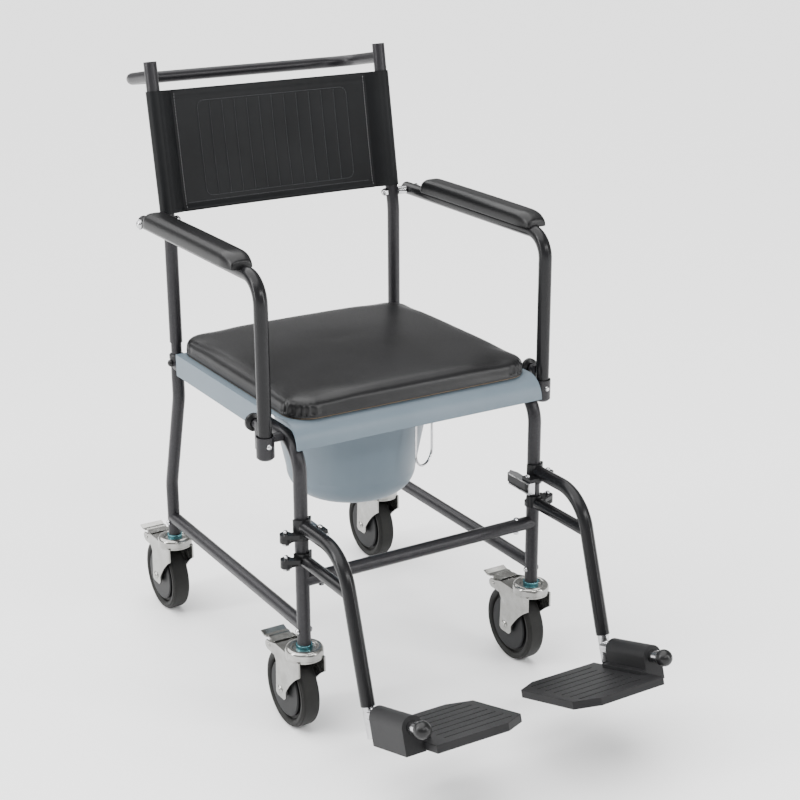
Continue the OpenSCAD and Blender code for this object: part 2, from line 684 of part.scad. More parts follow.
right_side_tube();
left_side_tube();
rear_legs();
lower_side_rails();
front_crossbar();
crossbar_sockets();
rear_crossbar();
back_posts();
post_collars();
post_lock_bolts();
push_handle();
backrest_sling();
seat_deck();
bucket_guides();
arm_sockets();
frame_bolts();
arm_pivot_bolts();
arm_pivot_spacers();
hanger_lugs();
hanger_pins();
castor_stems();
swivel_caps();
fork_front_right();
hub_front_right();
tyre_front_right();
brake_front_right();
fork_front_left();
hub_front_left();
tyre_front_left();
brake_front_left();
fork_rear_right();
hub_rear_right();
tyre_rear_right();
brake_rear_right();
fork_rear_left();
hub_rear_left();
tyre_rear_left();
brake_rear_left();
right_arm_tube();
left_arm_tube();
right_arm_pad();
left_arm_pad();
right_arm_lock();
left_arm_lock();
right_hanger();
left_hanger();
right_latch_bracket();
left_latch_bracket();
right_latch_lever();
left_latch_lever();
right_footrest_tube();
left_footrest_tube();
right_footplate();
left_footplate();
right_ball_cap();
left_ball_cap();
seat_cushion();
cushion_board();
bucket();
bucket_handle();
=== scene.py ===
"""Commode chair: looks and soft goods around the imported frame. Metres, +Z up, sitter faces -Y."""

import json
import math

import bmesh
import bpy
import numpy as np
from mathutils import Matrix, Vector, noise


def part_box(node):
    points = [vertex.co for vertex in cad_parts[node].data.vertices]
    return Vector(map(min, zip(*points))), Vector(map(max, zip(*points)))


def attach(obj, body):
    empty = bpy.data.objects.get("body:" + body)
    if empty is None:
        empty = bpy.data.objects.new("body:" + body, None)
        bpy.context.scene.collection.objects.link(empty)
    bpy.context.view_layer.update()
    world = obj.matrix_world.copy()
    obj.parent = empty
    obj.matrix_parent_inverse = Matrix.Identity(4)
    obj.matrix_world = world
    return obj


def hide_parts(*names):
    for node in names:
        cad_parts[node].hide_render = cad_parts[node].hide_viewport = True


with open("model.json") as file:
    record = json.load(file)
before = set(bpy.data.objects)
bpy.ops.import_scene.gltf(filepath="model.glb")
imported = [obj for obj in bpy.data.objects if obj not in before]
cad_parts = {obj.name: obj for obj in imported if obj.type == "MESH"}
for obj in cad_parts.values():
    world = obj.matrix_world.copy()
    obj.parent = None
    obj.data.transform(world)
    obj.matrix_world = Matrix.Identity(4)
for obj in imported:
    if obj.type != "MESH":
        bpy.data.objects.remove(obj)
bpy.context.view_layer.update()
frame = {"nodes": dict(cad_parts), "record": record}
MM = 0.001
SHIFT_Y = 110.8            # the CAD model's own shift, so that places can be given about the seat
LEAN = math.radians(9.9264)
HAND = (242.03, 942.0)     # where the push handle meets the back posts: y, z
POST_X = 208.5


def place(x, y, z):
    return Vector((x * MM, (y + SHIFT_Y) * MM, z * MM))


# ---------- camera, light and floor ----------

EYE = place(-1235.4, -2223.4, 1326.8)
YAW, PITCH, ROLL = (math.radians(a) for a in (31.01, -19.36, -0.26))
SENSOR = 36.0              # millimetres
FOCAL_RATIO = 2.074625     # focal length over the sensor's width


LIGHT_AIM = Vector((0, 0, 0.5))
LIT_BY_WORLD = 0.42        # what lights the object
SEEN_WORLD = 2.1           # what the camera sees beyond the floor
FLOOR_HALF = 30.0


def make_camera():
    level = Vector((math.sin(YAW), math.cos(YAW), 0))
    forward = level * math.cos(PITCH) + Vector((0, 0, math.sin(PITCH)))
    right = Vector((math.cos(YAW), -math.sin(YAW), 0))
    up = right.cross(forward)
    right, up = (
        math.cos(ROLL) * right + math.sin(ROLL) * up,
        math.cos(ROLL) * up - math.sin(ROLL) * right,
    )
    data = bpy.data.cameras.new("camera")
    data.sensor_width = SENSOR
    data.lens = SENSOR * FOCAL_RATIO
    camera = bpy.data.objects.new("camera", data)
    turn = Matrix((right, up, -forward)).transposed().to_4x4()
    camera.matrix_world = Matrix.Translation(EYE) @ turn
    bpy.context.scene.collection.objects.link(camera)
    bpy.context.scene.camera = camera


def area_light(name, at, size, power):
    """Rectangular light aimed at the middle of the chair, and out of the camera's sight."""
    data = bpy.data.lights.new(name, "AREA")
    data.shape = "RECTANGLE"
    data.size, data.size_y = size
    data.energy = power
    light = bpy.data.objects.new(name, data)
    light.location = at
    light.visible_camera = False
    light.rotation_euler = (LIGHT_AIM - Vector(at)).to_track_quat("-Z", "Y").to_euler()
    bpy.context.scene.collection.objects.link(light)


def soft_sun(name, aim, strength, spread):
    """Far light with a wide disc, so that the floor is lit alike all over."""
    data = bpy.data.lights.new(name, "SUN")
    data.energy = strength
    data.angle = math.radians(spread)
    light = bpy.data.objects.new(name, data)
    light.rotation_euler = Vector(aim).to_track_quat("-Z", "Y").to_euler()
    bpy.context.scene.collection.objects.link(light)


def make_world():
    world = bpy.data.worlds.new("studio")
    world.use_nodes = True
    tree = world.node_tree
    background = tree.nodes["Background"]
    background.inputs["Color"].default_value = (1, 1, 1, 1)
    path = tree.nodes.new("ShaderNodeLightPath")
    strength = tree.nodes.new("ShaderNodeMapRange")
    strength.inputs["To Min"].default_value = LIT_BY_WORLD
    strength.inputs["To Max"].default_value = SEEN_WORLD
    tree.links.new(path.outputs["Is Camera Ray"], strength.inputs["Value"])
    tree.links.new(strength.outputs["Result"], background.inputs["Strength"])
    bpy.context.scene.world = world


def make_floor():
    corners = [(sx * FLOOR_HALF, sy * FLOOR_HALF, 0) for sx, sy in ((-1, -1), (1, -1), (1, 1), (-1, 1))]
    mesh = bpy.data.meshes.new("floor")
    mesh.from_pydata(corners, [], [(0, 1, 2, 3)])
    floor = bpy.data.objects.new("floor", mesh)
    bpy.context.scene.collection.objects.link(floor)
    material = bpy.data.materials.new("floor")
    material.use_nodes = True
    shader = material.node_tree.nodes["Principled BSDF"]
    shader.inputs["Base Color"].default_value = (0.93, 0.93, 0.93, 1)
    shader.inputs["Roughness"].default_value = 0.9
    shader.inputs["Specular IOR Level"].default_value = 0.1
    mesh.materials.append(material)


def make_stage():
    make_world()
    soft_sun("sky_light", (0.25, -0.30, -1), 7.0, 90)
    area_light("left_light", (-3.0, 0.6, 1.6), (0.4, 2.6), 75)
    area_light("right_light", (2.0, -2.8, 1.5), (0.35, 2.4), 55)
    area_light("front_light", (0.2, -2.9, 2.4), (2.6, 0.30), 55)
    make_floor()


# ---------- materials ----------


class Nodes:
    """Short names for the few node kinds the materials use."""

    def __init__(self, name):
        self.material = bpy.data.materials.new(name)
        self.material.use_nodes = True
        self.tree = self.material.node_tree
        self.shader = self.tree.nodes["Principled BSDF"]
        self.where = self.tree.nodes.new("ShaderNodeTexCoord").outputs["Object"]

    def set(self, **values):
        """Sets the shader's inputs, with _ for each space in a name."""
        for name, value in values.items():
            self.shader.inputs[name.replace("_", " ")].default_value = value
        return self

    def link(self, a, b):
        self.tree.links.new(a, b)

    def noise(self, scale, detail=2.0, roughness=0.5, stretch=None):
        node = self.tree.nodes.new("ShaderNodeTexNoise")
        node.inputs["Scale"].default_value = scale
        node.inputs["Detail"].default_value = detail
        node.inputs["Roughness"].default_value = roughness
        source = self.where
        if stretch:
            mapping = self.tree.nodes.new("ShaderNodeMapping")
            mapping.inputs["Scale"].default_value = stretch
            self.link(source, mapping.inputs["Vector"])
            source = mapping.outputs["Vector"]
        self.link(source, node.inputs["Vector"])
        return node.outputs["Fac"]

    def cells(self, scale):
        node = self.tree.nodes.new("ShaderNodeTexVoronoi")
        node.inputs["Scale"].default_value = scale
        self.link(self.where, node.inputs["Vector"])
        return node.outputs["Distance"]

    def ramp(self, value, stops):
        node = self.tree.nodes.new("ShaderNodeValToRGB")
        elements = node.color_ramp.elements
        for i, (at, color) in enumerate(stops):
            element = elements[i] if i < 2 else elements.new(at)
            element.position = at
            element.color = (*color, 1)
        self.link(value, node.inputs["Fac"])
        return node.outputs["Color"]

    def range(self, value, low, high, start=0.0, end=1.0):
        """Takes start to end into low to high."""
        node = self.tree.nodes.new("ShaderNodeMapRange")
        for name, number in (("From Min", start), ("From Max", end), ("To Min", low), ("To Max", high)):
            node.inputs[name].default_value = number
        self.link(value, node.inputs["Value"])
        return node.outputs["Result"]

    def mix(self, factor, a, b):
        node = self.tree.nodes.new("ShaderNodeMix")
        node.data_type = "RGBA"
        self.link(factor, node.inputs["Factor"])
        for name, value in (("A", a), ("B", b)):
            socket = [s for s in node.inputs if s.name == name and s.type == "RGBA"][0]
            if isinstance(value, tuple):
                socket.default_value = (*value, 1)
            else:
                self.link(value, socket)
        return [s for s in node.outputs if s.type == "RGBA"][0]

    def axis(self, index):
        node = self.tree.nodes.new("ShaderNodeSeparateXYZ")
        self.link(self.where, node.inputs["Vector"])
        return node.outputs[index]

    def color(self, value):
        self.link(value, self.shader.inputs["Base Color"])
        return self

    def rough(self, value):
        self.link(value, self.shader.inputs["Roughness"])
        return self

    def relief(self, *heights, edge=0.0):
        """Bump from (height, strength, distance in metres) layers, over edges rounded by edge."""
        normal = None
        if edge:
            node = self.tree.nodes.new("ShaderNodeBevel")
            node.samples = 4
            node.inputs["Radius"].default_value = edge
            normal = node.outputs["Normal"]
        for height, strength, distance in heights:
            node = self.tree.nodes.new("ShaderNodeBump")
            node.inputs["Strength"].default_value = strength
            node.inputs["Distance"].default_value = distance
            self.link(height, node.inputs["Height"])
            if normal:
                self.link(normal, node.inputs["Normal"])
            normal = node.outputs["Normal"]
        self.link(normal, self.shader.inputs["Normal"])
        return self.material


def hammertone():
    """Anthracite powder coat with a fine light speck."""
    m = Nodes("anthracite hammertone").set(Metallic=0.2, Specular_IOR_Level=0.26)
    speck = m.noise(1500, 3, 0.7)
    broad = m.noise(60, 2)
    tone = m.ramp(speck, [
        (0.36, (0.009, 0.0087, 0.0098)),
        (0.56, (0.020, 0.0192, 0.0215)),
        (0.74, (0.068, 0.066, 0.072)),
    ])
    m.color(tone).rough(m.range(broad, 0.26, 0.36))
    return m.relief((speck, 0.35, 0.0004))


def black_paint():
    """Smooth black powder coat."""
    m = Nodes("black powder coat").set(Specular_IOR_Level=0.2)
    fine = m.noise(1100, 3, 0.6)
    broad = m.noise(45, 2)
    m.color(m.ramp(fine, [(0.3, (0.005, 0.005, 0.0055)), (0.7, (0.012, 0.012, 0.013))]))
    m.rough(m.range(broad, 0.20, 0.28))
    return m.relief((fine, 0.18, 0.0003))


COLLAR_Z = 0.1455          # metres: the castor stems are coloured above this height


def zinc(tint=False):
    """Bright zinc plate, a little cloudy; the castor's shoulder has a blue-green collar."""
    m = Nodes("zinc plate with collar" if tint else "zinc plate")
    m.set(Metallic=0.92, Specular_IOR_Level=0.5)
    cloud = m.noise(55, 4, 0.6)
    grain = m.noise(600, 2, 0.5, stretch=(1, 1, 0.25))
    tone = m.ramp(cloud, [(0.3, (0.26, 0.257, 0.243)), (0.7, (0.38, 0.38, 0.365))])
    if tint:
        above = m.range(m.axis(2), 0, 1, COLLAR_Z - 0.0002, COLLAR_Z + 0.0002)
        tone = m.mix(above, tone, (0.16, 0.38, 0.43))
    m.color(tone).rough(m.range(cloud, 0.17, 0.28, 0.3, 0.7))
    return m.relief((grain, 0.06, 0.0003), edge=0.0007)


def chrome():
    m = Nodes("chrome plate").set(Metallic=1.0)
    cloud = m.noise(80, 3)
    m.color(m.ramp(cloud, [(0.3, (0.42, 0.42, 0.43)), (0.7, (0.56, 0.56, 0.57))]))
    m.rough(m.range(cloud, 0.10, 0.22, 0.3, 0.7))
    return m.relief((m.noise(400, 2), 0.03, 0.0003), edge=0.0004)


def plastic(name, low, high, rough, bump, spec=0.3, edge=0.0008):
    """Moulded plastic: a fine spark-eroded texture and faint flow marks."""
    m = Nodes(name).set(Specular_IOR_Level=spec)
    broad = m.noise(14, 3, 0.5)
    fine = m.noise(900, 3, 0.6)
    m.color(m.ramp(broad, [(0.3, low), (0.7, high)])).rough(m.range(fine, rough[0], rough[1]))
    return m.relief((fine, bump, 0.0003), edge=edge)


def vinyl(name, low, high, rough=(0.34, 0.46), grain=520, bump=0.25, spec=0.25):
    """Leather-grained vinyl: small pebbles with creases between them, and soft sheen."""
    m = Nodes(name).set(Specular_IOR_Level=spec)
    pebble = m.cells(grain)
    fine = m.noise(1400, 3, 0.6)
    broad = m.noise(9, 3, 0.6)
    m.color(m.ramp(broad, [(0.3, low), (0.7, high)]))
    m.rough(m.range(pebble, rough[0], rough[1], 0.0, 0.6))
    return m.relief((pebble, bump, 0.0003), (fine, 0.12, 0.0002))


def tyre_rubber():
    m = Nodes("tyre rubber").set(Specular_IOR_Level=0.22)
    broad = m.noise(30, 3)
    fine = m.noise(1200, 3)
    m.color(m.ramp(broad, [(0.3, (0.007, 0.007, 0.0065)), (0.7, (0.012, 0.012, 0.011))]))
    m.rough(m.range(fine, 0.5, 0.66))
    return m.relief((fine, 0.15, 0.0003))


def plywood():
    m = Nodes("board edge").set(Specular_IOR_Level=0.25)
    grain = m.noise(40, 5, 0.6, stretch=(1, 1, 30))
    m.color(m.ramp(grain, [(0.3, (0.08, 0.055, 0.032)), (0.7, (0.16, 0.115, 0.07))]))
    m.rough(m.range(grain, 0.6, 0.8))
    return m.relief((grain, 0.2, 0.0004))


def thread(name, low, high):
    m = Nodes(name).set(Specular_IOR_Level=0.3, Sheen_Weight=0.2)
    ply = m.noise(2500, 2)
    m.color(m.ramp(ply, [(0.3, low), (0.7, high)])).rough(m.range(ply, 0.6, 0.8))
    return m.relief((ply, 0.3, 0.0002))


def dress_cad():
    """Gives every CAD node that stays its material, by the record's slots."""
    soft_black = (0.004, 0.004, 0.0043), (0.007, 0.007, 0.0075)
    seat = (0.105, 0.138, 0.165), (0.118, 0.152, 0.180)
    foot = (0.0085, 0.0085, 0.0092), (0.0125, 0.0125, 0.0132)
    knob = (0.004, 0.004, 0.0045), (0.007, 0.007, 0.0075)
    hub = (0.005, 0.0052, 0.0056), (0.008, 0.0082, 0.0088)
    looks = {
        "frame_paint": hammertone(),
        "black_paint": black_paint(),
        "zinc": zinc(),
        "chrome": chrome(),
        "seat_plastic": plastic("seat plastic", *seat, (0.36, 0.46), 0.08, edge=0.0012),
        "footplate_plastic": plastic("footplate plastic", *foot, (0.46, 0.6), 0.3, 0.2, 0.0012),
        "black_plastic": plastic("black plastic", *knob, (0.28, 0.38), 0.06),
        "hub_plastic": plastic("hub plastic", *hub, (0.40, 0.5), 0.15, 0.18),
        "tyre": tyre_rubber(),
        "board": plywood(),
        "vinyl": vinyl("plain vinyl", *soft_black),
        "arm_pad_foam": vinyl("plain foam", *soft_black),
    }
    tinted = zinc(tint=True)
    for entry in frame["record"]["subparts"]:
        o = frame["nodes"][entry["node"]]
        material = tinted if entry["node"] == "castor_stems" else looks[entry["material_slot"]]
        if not o.material_slots:
            o.data.materials.append(material)
        for slot in o.material_slots:
            slot.material = material


# ---------- mesh helpers ----------


def new_object(name, points, faces, material):
    mesh = bpy.data.meshes.new(name)
    mesh.from_pydata([tuple(p) for p in points], [], faces)
    mesh.materials.append(material)
    mesh.update()
    o = bpy.data.objects.new(name, mesh)
    bpy.context.scene.collection.objects.link(o)
    return o


def tidy_normals(o):
    work = bmesh.new()
    work.from_mesh(o.data)
    bmesh.ops.recalc_face_normals(work, faces=work.faces)
    work.to_mesh(o.data)
    work.free()
    for polygon in o.data.polygons:
        polygon.use_smooth = True


def applied(o):
    """Replaces o's mesh by the result of its modifiers."""
    graph = bpy.context.evaluated_depsgraph_get()
    graph.update()
    mesh = bpy.data.meshes.new_from_object(o.evaluated_get(graph))
    o.modifiers.clear()
    old, o.data = o.data, mesh
    bpy.data.meshes.remove(old)
    for polygon in mesh.polygons:
        polygon.use_smooth = True
    return o


def grid_faces(rows, columns, closed=False):
    """Quads over rows of points; closed joins each row's end to its start."""
    faces = []
    for r in range(rows - 1):
        here, above = r * columns, (r + 1) * columns
        for c in range(columns if closed else columns - 1):
            d = (c + 1) % columns
            faces.append((here + c, here + d, above + d, above + c))
    return faces


def subdivided(o):
    fine = o.modifiers.new("fine", "SUBSURF")
    fine.levels = fine.render_levels = 1
    applied(o)


def smooth(t):
    """0 below 0, 1 above 1, and an even rise between."""
    t = min(1.0, max(0.0, t))
    return t * t * (3 - 2 * t)


STITCH, STITCH_GAP, STITCH_R = 3.1, 1.5, 0.42
STITCH_SIDES = 6
STITCH_LIFT = 0.35         # how far a stitch's middle stands off the vinyl


def add_stitch(points, faces, at, along, out):
    """One spindle of thread whose ends dip into the vinyl."""
    side = along.cross(out).normalized()
    start = len(points)
    loops = [(-0.42, 0.7), (-0.2, 1.0), (0.2, 1.0), (0.42, 0.7)]
    for share, fat in [(-0.5, 0.0)] + loops + [(0.5, 0.0)]:
        centre = at + along * (share * STITCH) + out * (STITCH_LIFT - 0.5 * (2 * share) ** 2)
        if fat == 0.0:
            points.append(centre * MM)
            continue
        for i in range(STITCH_SIDES):
            angle = i * 2 * math.pi / STITCH_SIDES
            spoke = side * math.cos(angle) + out * math.sin(angle)
            points.append((centre + spoke * (STITCH_R * fat)) * MM)
    first, tip = start + 1, start + 1 + len(loops) * STITCH_SIDES
    for a in range(STITCH_SIDES):
        b = (a + 1) % STITCH_SIDES
        faces.append((start, first + b, first + a))
        for r in range(len(loops) - 1):
            low = first + r * STITCH_SIDES
            high = low + STITCH_SIDES
            faces.append((low + a, low + b, high + b, high + a))
        faces.append((tip, tip - STITCH_SIDES + a, tip - STITCH_SIDES + b))


def stitches(name, runs, material):
    """Small thread stitches along runs of (point, normal), given in millimetres."""
    points, faces = [], []
    for run in runs:
        spots = [Vector(p) for p, _ in run]
        normals = [Vector(n) for _, n in run]
        reach = [0.0]
        for a, b in zip(spots, spots[1:]):
            reach.append(reach[-1] + (b - a).length)
        count = max(1, int(reach[-1] / (STITCH + STITCH_GAP)))
        for i in range(count):
            middle = (i + 0.5) * reach[-1] / count
            k = max(j for j in range(len(reach) - 1) if reach[j] <= middle + 1e-9)
            t = (middle - reach[k]) / max(1e-9, reach[k + 1] - reach[k])
            at = spots[k].lerp(spots[k + 1], t)
            along = (spots[k + 1] - spots[k]).normalized()
            add_stitch(points, faces, at, along, normals[k].lerp(normals[k + 1], t).normalized())
    o = new_object(name, points, faces, material)
    tidy_normals(o)
    return o


# ---------- backrest sling ----------

# All in millimetres, in the back's own frame: x to the sitter's left, y to the rear across the
# posts' plane, and z up along the posts from HAND.

SLING_TOP, SLING_BOTTOM = -23.4, -217.4
SLING_HEIGHT = SLING_TOP - SLING_BOTTOM
PLAN_Z = -120.0            # height of the row that the sling's plan outline is taken from
SLING_BOW = 18.0           # how far the vinyl bows to the rear between the posts
SEAM_X = 177.0
SLEEVE_R = 11.9
HEM = 12.0
QUILT_X, QUILT_MID, QUILT_R = 137.0, 4.5, 12.0
QUILT_TOP, QUILT_BOTTOM = -44.0, -197.0
QUILT_LINES = 13
QUILT_STEP = 2 * QUILT_X / (QUILT_LINES - 1)


def leaned(x, y, z):
    """A point of the back's own frame, in millimetres of the CAD frame."""
    return Vector((
        x,
        HAND[0] + SHIFT_Y + y * math.cos(LEAN) + z * math.sin(LEAN),
        HAND[1] - y * math.sin(LEAN) + z * math.cos(LEAN),
    ))


def quilt_distance(x, z):
    """How far a spot is from the nearest sewn line of the quilted panel."""
    x -= QUILT_MID
    qx = abs(x) - (QUILT_X - QUILT_R)
    qz = abs(z - (QUILT_TOP + QUILT_BOTTOM) / 2) - ((QUILT_TOP - QUILT_BOTTOM) / 2 - QUILT_R)
    outline = math.hypot(max(qx, 0), max(qz, 0)) + min(max(qx, qz), 0) - QUILT_R
    best = abs(outline)
    if outline < 0:
        k = round((x + QUILT_X) / QUILT_STEP)
        if 0 < k < QUILT_LINES - 1:
            best = min(best, abs(x + QUILT_X - k * QUILT_STEP))
    return best


def bow(x):
    return SLING_BOW * (1 - (x / POST_X) ** 2)


def panel_y(x, z):
    """Depth of the panel's front layer between the posts."""
    up = (z - SLING_BOTTOM) / SLING_HEIGHT
    from_bottom, from_top = z - SLING_BOTTOM, SLING_TOP - z
    from_line = x - QUILT_MID
    y = bow(x) - 0.9
    y += 2.2 * math.sin(math.pi * up) * (1 - (x / POST_X) ** 2)
    # the side seams, the sewn lines and the pillows between them
    y -= 1.3 * smooth((SEAM_X + 1.2 - abs(x)) / 1.6)
    y += 0.4 * math.exp(-(quilt_distance(x, z) / 1.1) ** 2)
    pillow = abs(math.sin(math.pi * (from_line + QUILT_X) / QUILT_STEP))
    y -= 0.16 * smooth((QUILT_X - abs(from_line)) / 12) * pillow
    # slow waves over the whole panel
    y += 0.9 * noise.noise(Vector((x * 0.018, z * 0.012, 3.1)))
    # the thick hem below, and the thinner one above with its sewn line
    y -= 3.8 * smooth((HEM - from_bottom) / 9) - 1.6 * smooth((3 - from_bottom) / 3)
    y += 0.6 * math.exp(-((from_top - HEM) / 1.3) ** 2) + 0.9 * smooth((3 - from_top) / 3)
    y -= 0.7 * smooth((HEM - from_top) / 3)
    return y


def sleeve_path():
    """The +X sleeve in plan, from the rear of the seam round the post to the front of it."""
    flat, turn = 9, 18      # steps along each flat run and round the post
    seam = (SEAM_X, bow(SEAM_X))
    dx, dy = POST_X - seam[0], -seam[1]
    far = math.hypot(dx, dy)
    toward, spread = math.atan2(dy, dx), math.asin(SLEEVE_R / far)
    length = math.sqrt(far * far - SLEEVE_R * SLEEVE_R)
    back, front = toward + spread, toward - spread
    path = []
    for i in range(flat):
        t = i / flat
        bulge = 1.1 * math.sin(math.pi * t)
        path.append((seam[0] + length * t * math.cos(back) - bulge * math.sin(back),
                     seam[1] + 0.9 + length * t * math.sin(back) + bulge * math.cos(back)))
    start, end = back + math.pi / 2, front - math.pi / 2
    for i in range(turn + 1):
        a = start + (end - start) * i / turn
        path.append((POST_X + SLEEVE_R * math.cos(a), SLEEVE_R * math.sin(a)))
    for i in range(flat):
        t = 1 - (i + 1) / flat
        bulge = 2.0 * math.sin(math.pi * t)
        path.append((seam[0] + length * t * math.cos(front) + bulge * math.sin(front),
                     seam[1] - 0.9 + length * t * math.sin(front) - bulge * math.cos(front)))
    return path


def sleeve_line(path, z, front_is_last):
    """One row of a sleeve: waves away from the post, and a lower front that hangs forward."""
    half = len(path) / 2
    low = smooth((11 - (z - SLING_BOTTOM)) / 8)
    line = []
    for i, (x, y) in enumerate(path):
        inward = POST_X - abs(x)
        wave = 0.8 * noise.noise(Vector((x * 0.05, y * 0.05, z * 0.02)))
        in_front = i > half if front_is_last else i < half
        hang = smooth((inward - 8) / 20) * low if in_front else 0.0
        line.append((x, y + wave * smooth((inward - 12) / 10) - hang))
    return line


def sling_rows():
    """Heights of the sling's rows, closer together at both hems."""
    hem = [0, 0.8, 1.6, 3, 4.5, 6, 8, 10, 12, 14]
    body = np.arange(16.5, SLING_HEIGHT - 16, 2.7)
    return sorted(
        {SLING_BOTTOM + h for h in hem} | {SLING_TOP - h for h in hem} | {SLING_BOTTOM + b for b in body}
    )


def make_sling(material):
    left = sleeve_path()
    right = [(-x, y) for x, y in reversed(left)]
    across = np.arange(SEAM_X - 1.4, -SEAM_X, -1.4)
    rows = sling_rows()
    points = []
    for z in rows:
        line = sleeve_line(left, z, True)
        line += [(x, panel_y(x, z)) for x in across]
        line += sleeve_line(right, z, False)
        points += [leaned(x, y, z) * MM for x, y in line]
    faces = grid_faces(len(rows), len(left) + len(across) + len(right))
    sling = new_object("backrest_vinyl", points, faces, material)
    shell = sling.modifiers.new("shell", "SOLIDIFY")
    shell.thickness = 0.0012
    shell.offset = 0
    applied(sling)
    tidy_normals(sling)
    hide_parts("backrest_sling")
    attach(sling, "frame")
    plan = left + [(x, panel_y(x, PLAN_Z)) for x in across] + right


def panel_spot(x, z):
    """A place for a stitch on the panel's front, and the way that the panel faces there."""
    slope = (panel_y(x + 2, z) - panel_y(x - 2, z)) / 4
    facing = Vector((slope, -math.cos(LEAN), math.sin(LEAN))).normalized()
    return leaned(x, panel_y(x, z) - 0.75, z), facing


def quilt_outline():
    """The sewn line round the quilted panel, as points no more than 4 mm apart on its sides."""
    corners = []
    half_x, half_z = QUILT_X - QUILT_R, (QUILT_TOP - QUILT_BOTTOM) / 2 - QUILT_R
    for i, (sx, sz) in enumerate(((1, 1), (-1, 1), (-1, -1), (1, -1))):
        for a in np.radians(np.linspace(90 * i, 90 * i + 90, 9)):
            corners.append((QUILT_MID + sx * half_x + QUILT_R * math.cos(a),
                            (QUILT_TOP + QUILT_BOTTOM) / 2 + sz * half_z + QUILT_R * math.sin(a)))
    corners.append(corners[0])
    outline = []
    for a, b in zip(corners, corners[1:]):
        n = max(1, int(math.dist(a, b) / 4))
        outline += [(a[0] + (b[0] - a[0]) * i / n, a[1] + (b[1] - a[1]) * i / n) for i in range(n)]
    return outline + [corners[0]]


def sew_sling(quilt_thread, seam_thread):
    runs = []
    for k in range(1, QUILT_LINES - 1):
        x = QUILT_MID - QUILT_X + k * QUILT_STEP
        runs.append([panel_spot(x, z) for z in np.arange(QUILT_BOTTOM + 1, QUILT_TOP - 0.5, 3)])
    runs.append([panel_spot(x, z) for x, z in quilt_outline()])
    runs.append([panel_spot(x, SLING_BOTTOM + HEM + 1) for x in np.arange(8 - SEAM_X, SEAM_X - 7, 6)])
    heights = np.arange(SLING_BOTTOM + 5, SLING_TOP - 4, 4)
    seams = [[panel_spot(s * (SEAM_X - 3.5), z) for z in heights] for s in (-1, 1)]
    for name, lines, material in (
        ("backrest_stitching", runs, quilt_thread),
        ("backrest_side_seams", seams, seam_thread),
    ):
        sewing = stitches(name, lines, material)
        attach(sewing, "frame")


# ---------- seat cushion ----------

SEAT_X, SEAT_Y0, SEAT_Y1, SEAT_R = 211.0, -223.0, 187.0, 42.0
SEAT_MID = (SEAT_Y0 + SEAT_Y1) / 2
SEAT_HALF = (SEAT_Y1 - SEAT_Y0) / 2
SEAT_Z0 = 507.9            # the board's top, which the cushion sits on
RIM_Z, CROWN = 531.0, 12.5
BLOW_FRAMES = 20
PINNED = 1.0               # millimetres above SEAT_Z0 that the board holds still


def rounded_outline(half_x, y0, y1, radius, side=26, corner=18):
    """Points round a rounded rectangle, anticlockwise from its +X +Y corner."""
    centres = ((half_x - radius, y1 - radius), (radius - half_x, y1 - radius),
               (radius - half_x, y0 + radius), (half_x - radius, y0 + radius))
    outline = []
    for i, (cx, cy) in enumerate(centres):
        for a in np.radians(np.linspace(90 * i, 90 * i + 90, corner, endpoint=False)):
            outline.append((cx + radius * math.cos(a), cy + radius * math.sin(a)))
        out_x, out_y = (radius * f(math.radians(90 * i + 90)) for f in (math.cos, math.sin))
        px, py = cx + out_x, cy + out_y
        qx, qy = (c + out for c, out in zip(centres[(i + 1) % 4], (out_x, out_y)))
        for t in np.linspace(0, 1, side, endpoint=False):
            outline.append((px + (qx - px) * t, py + (qy - py) * t))
    return outline


def crown(x, y):
    """Height of the cushion's top before it is blown up."""
    u = min(1, abs(x) / SEAT_X)
    v = min(1, abs(y - SEAT_MID) / SEAT_HALF)
    return RIM_Z + CROWN * (1 - u ** 1.9) * (1 - v ** 1.9)


def make_cushion(material):
    # Insets and heights: the underside, a skirt over the board's edge, the side, and the top.
    profile = [(inset, 0.0) for inset in (196, 150, 110, 70, 35, 16, 7.0)]
    profile += [(1.9, -0.2), (1.7, -3.0), (1.2, -3.4), (0.8, -3.0), (1.0, 0.0)]
    profile += [(1.5, 2.5), (1.6, 5.5), (1.6, 9.0), (1.8, 12.5), (2.8, 15.6), (4.8, 18.4),
                (7.8, 20.8), (11.5, 22.4)]
    profile += [(inset, None) for inset in np.linspace(16, 198, 23)]
    shift = Vector((0, SHIFT_Y * MM, 0))
    points = []
    for inset, rise in profile:
        radius = max(SEAT_R - inset, min(34.0, 0.9 * (SEAT_HALF - inset)))
        for x, y in rounded_outline(SEAT_X - inset, SEAT_Y0 + inset, SEAT_Y1 - inset, radius):
            z = crown(x, y) if rise is None else SEAT_Z0 + rise
            points.append(Vector((x, y, z)) * MM + shift)
    count = len(points) // len(profile)
    faces = grid_faces(len(profile), count, closed=True)
    faces.append(tuple(range(count - 1, -1, -1)))
    faces.append(tuple(range(len(points) - count, len(points))))
    cushion = new_object("seat_cushion_vinyl", points, faces, material)
    tidy_normals(cushion)
    pins = cushion.vertex_groups.new(name="pins")
    held = [i for i, p in enumerate(points) if p.z < (SEAT_Z0 + PINNED) * MM]
    pins.add(held, 1.0, "REPLACE")
    blow(cushion, pins.name, pressure=4.0, cap=2.5, reach=10.0)
    subdivided(cushion)
    gather_corners(cushion)
    tidy_normals(cushion)
    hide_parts("seat_cushion")
    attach(cushion, "cushion")


